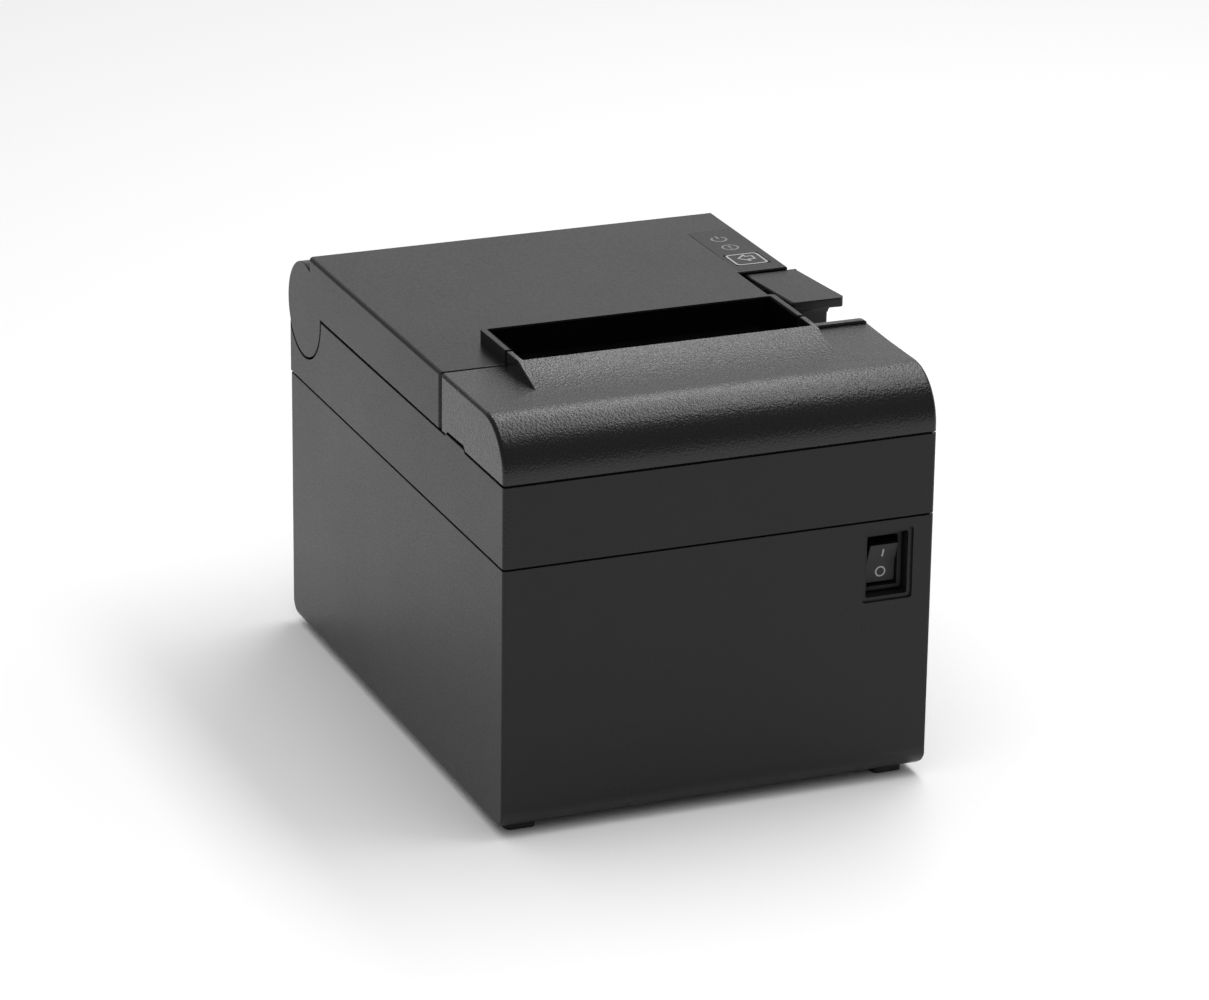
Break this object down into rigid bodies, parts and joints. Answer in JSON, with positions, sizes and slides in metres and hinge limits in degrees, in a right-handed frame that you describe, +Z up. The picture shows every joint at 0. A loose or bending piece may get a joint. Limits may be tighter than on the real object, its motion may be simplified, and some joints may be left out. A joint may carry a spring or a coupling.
{
  "type": "receipt printer",
  "caption": "Desktop receipt printer with a rear-hinged lid, cover-open lever, paper exit rim, feed button, rocker switch and a geared platen, head and cutter inside.",
  "frame": {"origin": "on the floor under the middle of the case, between the four feet", "axes": "+X to the right as seen by the user, -Y out of the front, +Z up"},
  "size_m": [0.1481, 0.2009, 0.1407],
  "materials": {
    "case_plastic": "fine grained moulded plastic",
    "lever_plastic": "fine grained moulded plastic",
    "black_plastic": "moulded plastic",
    "rocker_plastic": "smooth moulded plastic with light marks",
    "film": "matt printed film",
    "light_pipe": "clear light guide",
    "feet_rubber": "moulded rubber",
    "platen_rubber": "ground rubber",
    "sheet_steel": "zinc plated sheet",
    "turned_steel": "turned steel",
    "blade_steel": "ground steel",
    "screw_steel": "zinc plated screws",
    "spring_steel": "spring wire",
    "head_aluminium": "machined plate",
    "head_ceramic": "glazed strip",
    "gear_plastic": "natural acetal",
    "brass": "turned brass",
    "board": "solder resist",
    "chips": "moulded chip packages",
    "capacitors": "sleeved cans",
    "port_metal": "nickel plated shells"
  },
  "bodies": {
    "case": {"base_shell": "case_plastic", "rubber_feet": "feet_rubber", "chassis_plate": "sheet_steel", "mid_frame": "case_plastic", "front_cover": "case_plastic", "paper_bucket": "black_plastic", "paper_guide": "black_plastic", "paper_end_sensor": "black_plastic", "mech_frame": "sheet_steel", "feed_motor": "sheet_steel", "motor_screws": "screw_steel", "idler_post": "turned_steel", "head_pivot_shaft": "turned_steel", "head_springs": "spring_steel", "cutter_base": "black_plastic", "cutter_cover": "sheet_steel", "cutter_motor": "sheet_steel", "cutter_screws": "screw_steel", "catch_pins": "turned_steel", "hinge_pins": "turned_steel", "main_board": "board", "board_chips": "chips", "board_capacitors": "capacitors", "power_board": "board", "board_standoffs": "brass", "board_screws": "screw_steel", "mech_screws": "screw_steel", "case_screws": "screw_steel", "cover_screws": "screw_steel", "interface_plate": "sheet_steel", "power_inlet": "black_plastic", "drawer_port": "black_plastic", "serial_port": "port_metal", "serial_jackscrews": "screw_steel", "lan_port": "port_metal", "usb_port": "port_metal", "switch_body": "black_plastic"},
    "lid": {"lid_shell": "case_plastic", "chute_liner": "black_plastic", "platen_bracket": "sheet_steel", "platen_bushes": "gear_plastic", "fixed_blade": "blade_steel", "lid_screws": "screw_steel", "panel_film": "film", "panel_board": "board", "panel_lights": "light_pipe"},
    "platen": {"platen_shaft": "turned_steel", "platen_rubber": "platen_rubber", "platen_gear": "gear_plastic"},
    "feed_rotor": {"motor_pinion": "brass"},
    "idler": {"idler_gear": "gear_plastic"},
    "head": {"head_plate": "head_aluminium", "head_strip": "head_ceramic"},
    "blade": {"cutter_blade": "blade_steel"},
    "cutter_wheel": {"cutter_pinion": "gear_plastic"},
    "cutter_rotor": {"cutter_motor_gear": "brass"},
    "lever": {"open_lever": "lever_plastic", "latch_shaft": "turned_steel"},
    "button": {"feed_button": "film"},
    "rocker": {"switch_rocker": "rocker_plastic"}
  },
  "joints": [
    {"name": "lid_hinge", "type": "hinge", "parent": "case", "child": "lid", "pos_m": [0, 0.0852, 0.1162], "axis": [-1, 0, 0], "range_deg": [0, 95]},
    {"name": "open_lever", "type": "hinge", "parent": "lid", "child": "lever", "pos_m": [0.064, 0.0105, 0.1295], "axis": [-1, 0, 0], "range_deg": [0, 10], "stiffness_Nm_per_rad": 0.8, "springref_deg": -5.73},
    {"name": "platen_turn", "type": "hinge", "parent": "lid", "child": "platen", "pos_m": [0, -0.036, 0.118], "axis": [1, 0, 0], "continuous": true},
    {"name": "feed_motor_turn", "type": "hinge", "parent": "case", "child": "feed_rotor", "pos_m": [-0.056, -0.05132, 0.08214], "axis": [1, 0, 0], "continuous": true},
    {"name": "idler_turn", "type": "hinge", "parent": "case", "child": "idler", "pos_m": [-0.056, -0.036, 0.095], "axis": [1, 0, 0], "continuous": true},
    {"name": "head_tilt", "type": "hinge", "parent": "case", "child": "head", "pos_m": [0, -0.0463, 0.103], "axis": [1, 0, 0], "range_deg": [0, 2], "stiffness_Nm_per_rad": 3, "springref_deg": -5.73, "deforming": ["head_springs"]},
    {"name": "blade_slide", "type": "slide", "parent": "case", "child": "blade", "axis": [0, 1, 0], "range_m": [0, 0.01]},
    {"name": "cutter_wheel_turn", "type": "hinge", "parent": "case", "child": "cutter_wheel", "pos_m": [-0.0342, -0.065, 0.124], "axis": [0, 0, 1], "range_deg": [0, 137]},
    {"name": "cutter_motor_turn", "type": "hinge", "parent": "case", "child": "cutter_rotor", "pos_m": [-0.0342, -0.0776, 0.122], "axis": [0, 0, 1], "range_deg": [-274, 0]},
    {"name": "feed_button_press", "type": "slide", "parent": "lid", "child": "button", "axis": [0, 0, -1], "range_m": [0, 0.0008], "stiffness_N_per_m": 900, "springref_m": -0.0008},
    {"name": "power_switch_rock", "type": "hinge", "parent": "case", "child": "rocker", "pos_m": [0.057, -0.0911, 0.0746], "axis": [-1, 0, 0], "range_deg": [0, 24]}
  ],
  "couplings": [
    {"joint": "feed_motor_turn", "follows": "platen_turn", "ratio": 1.5},
    {"joint": "idler_turn", "follows": "platen_turn", "ratio": -0.64286},
    {"joint": "cutter_wheel_turn", "follows": "blade_slide", "rad_per_m": 238.1},
    {"joint": "cutter_motor_turn", "follows": "blade_slide", "rad_per_m": -476.19}
  ]
}
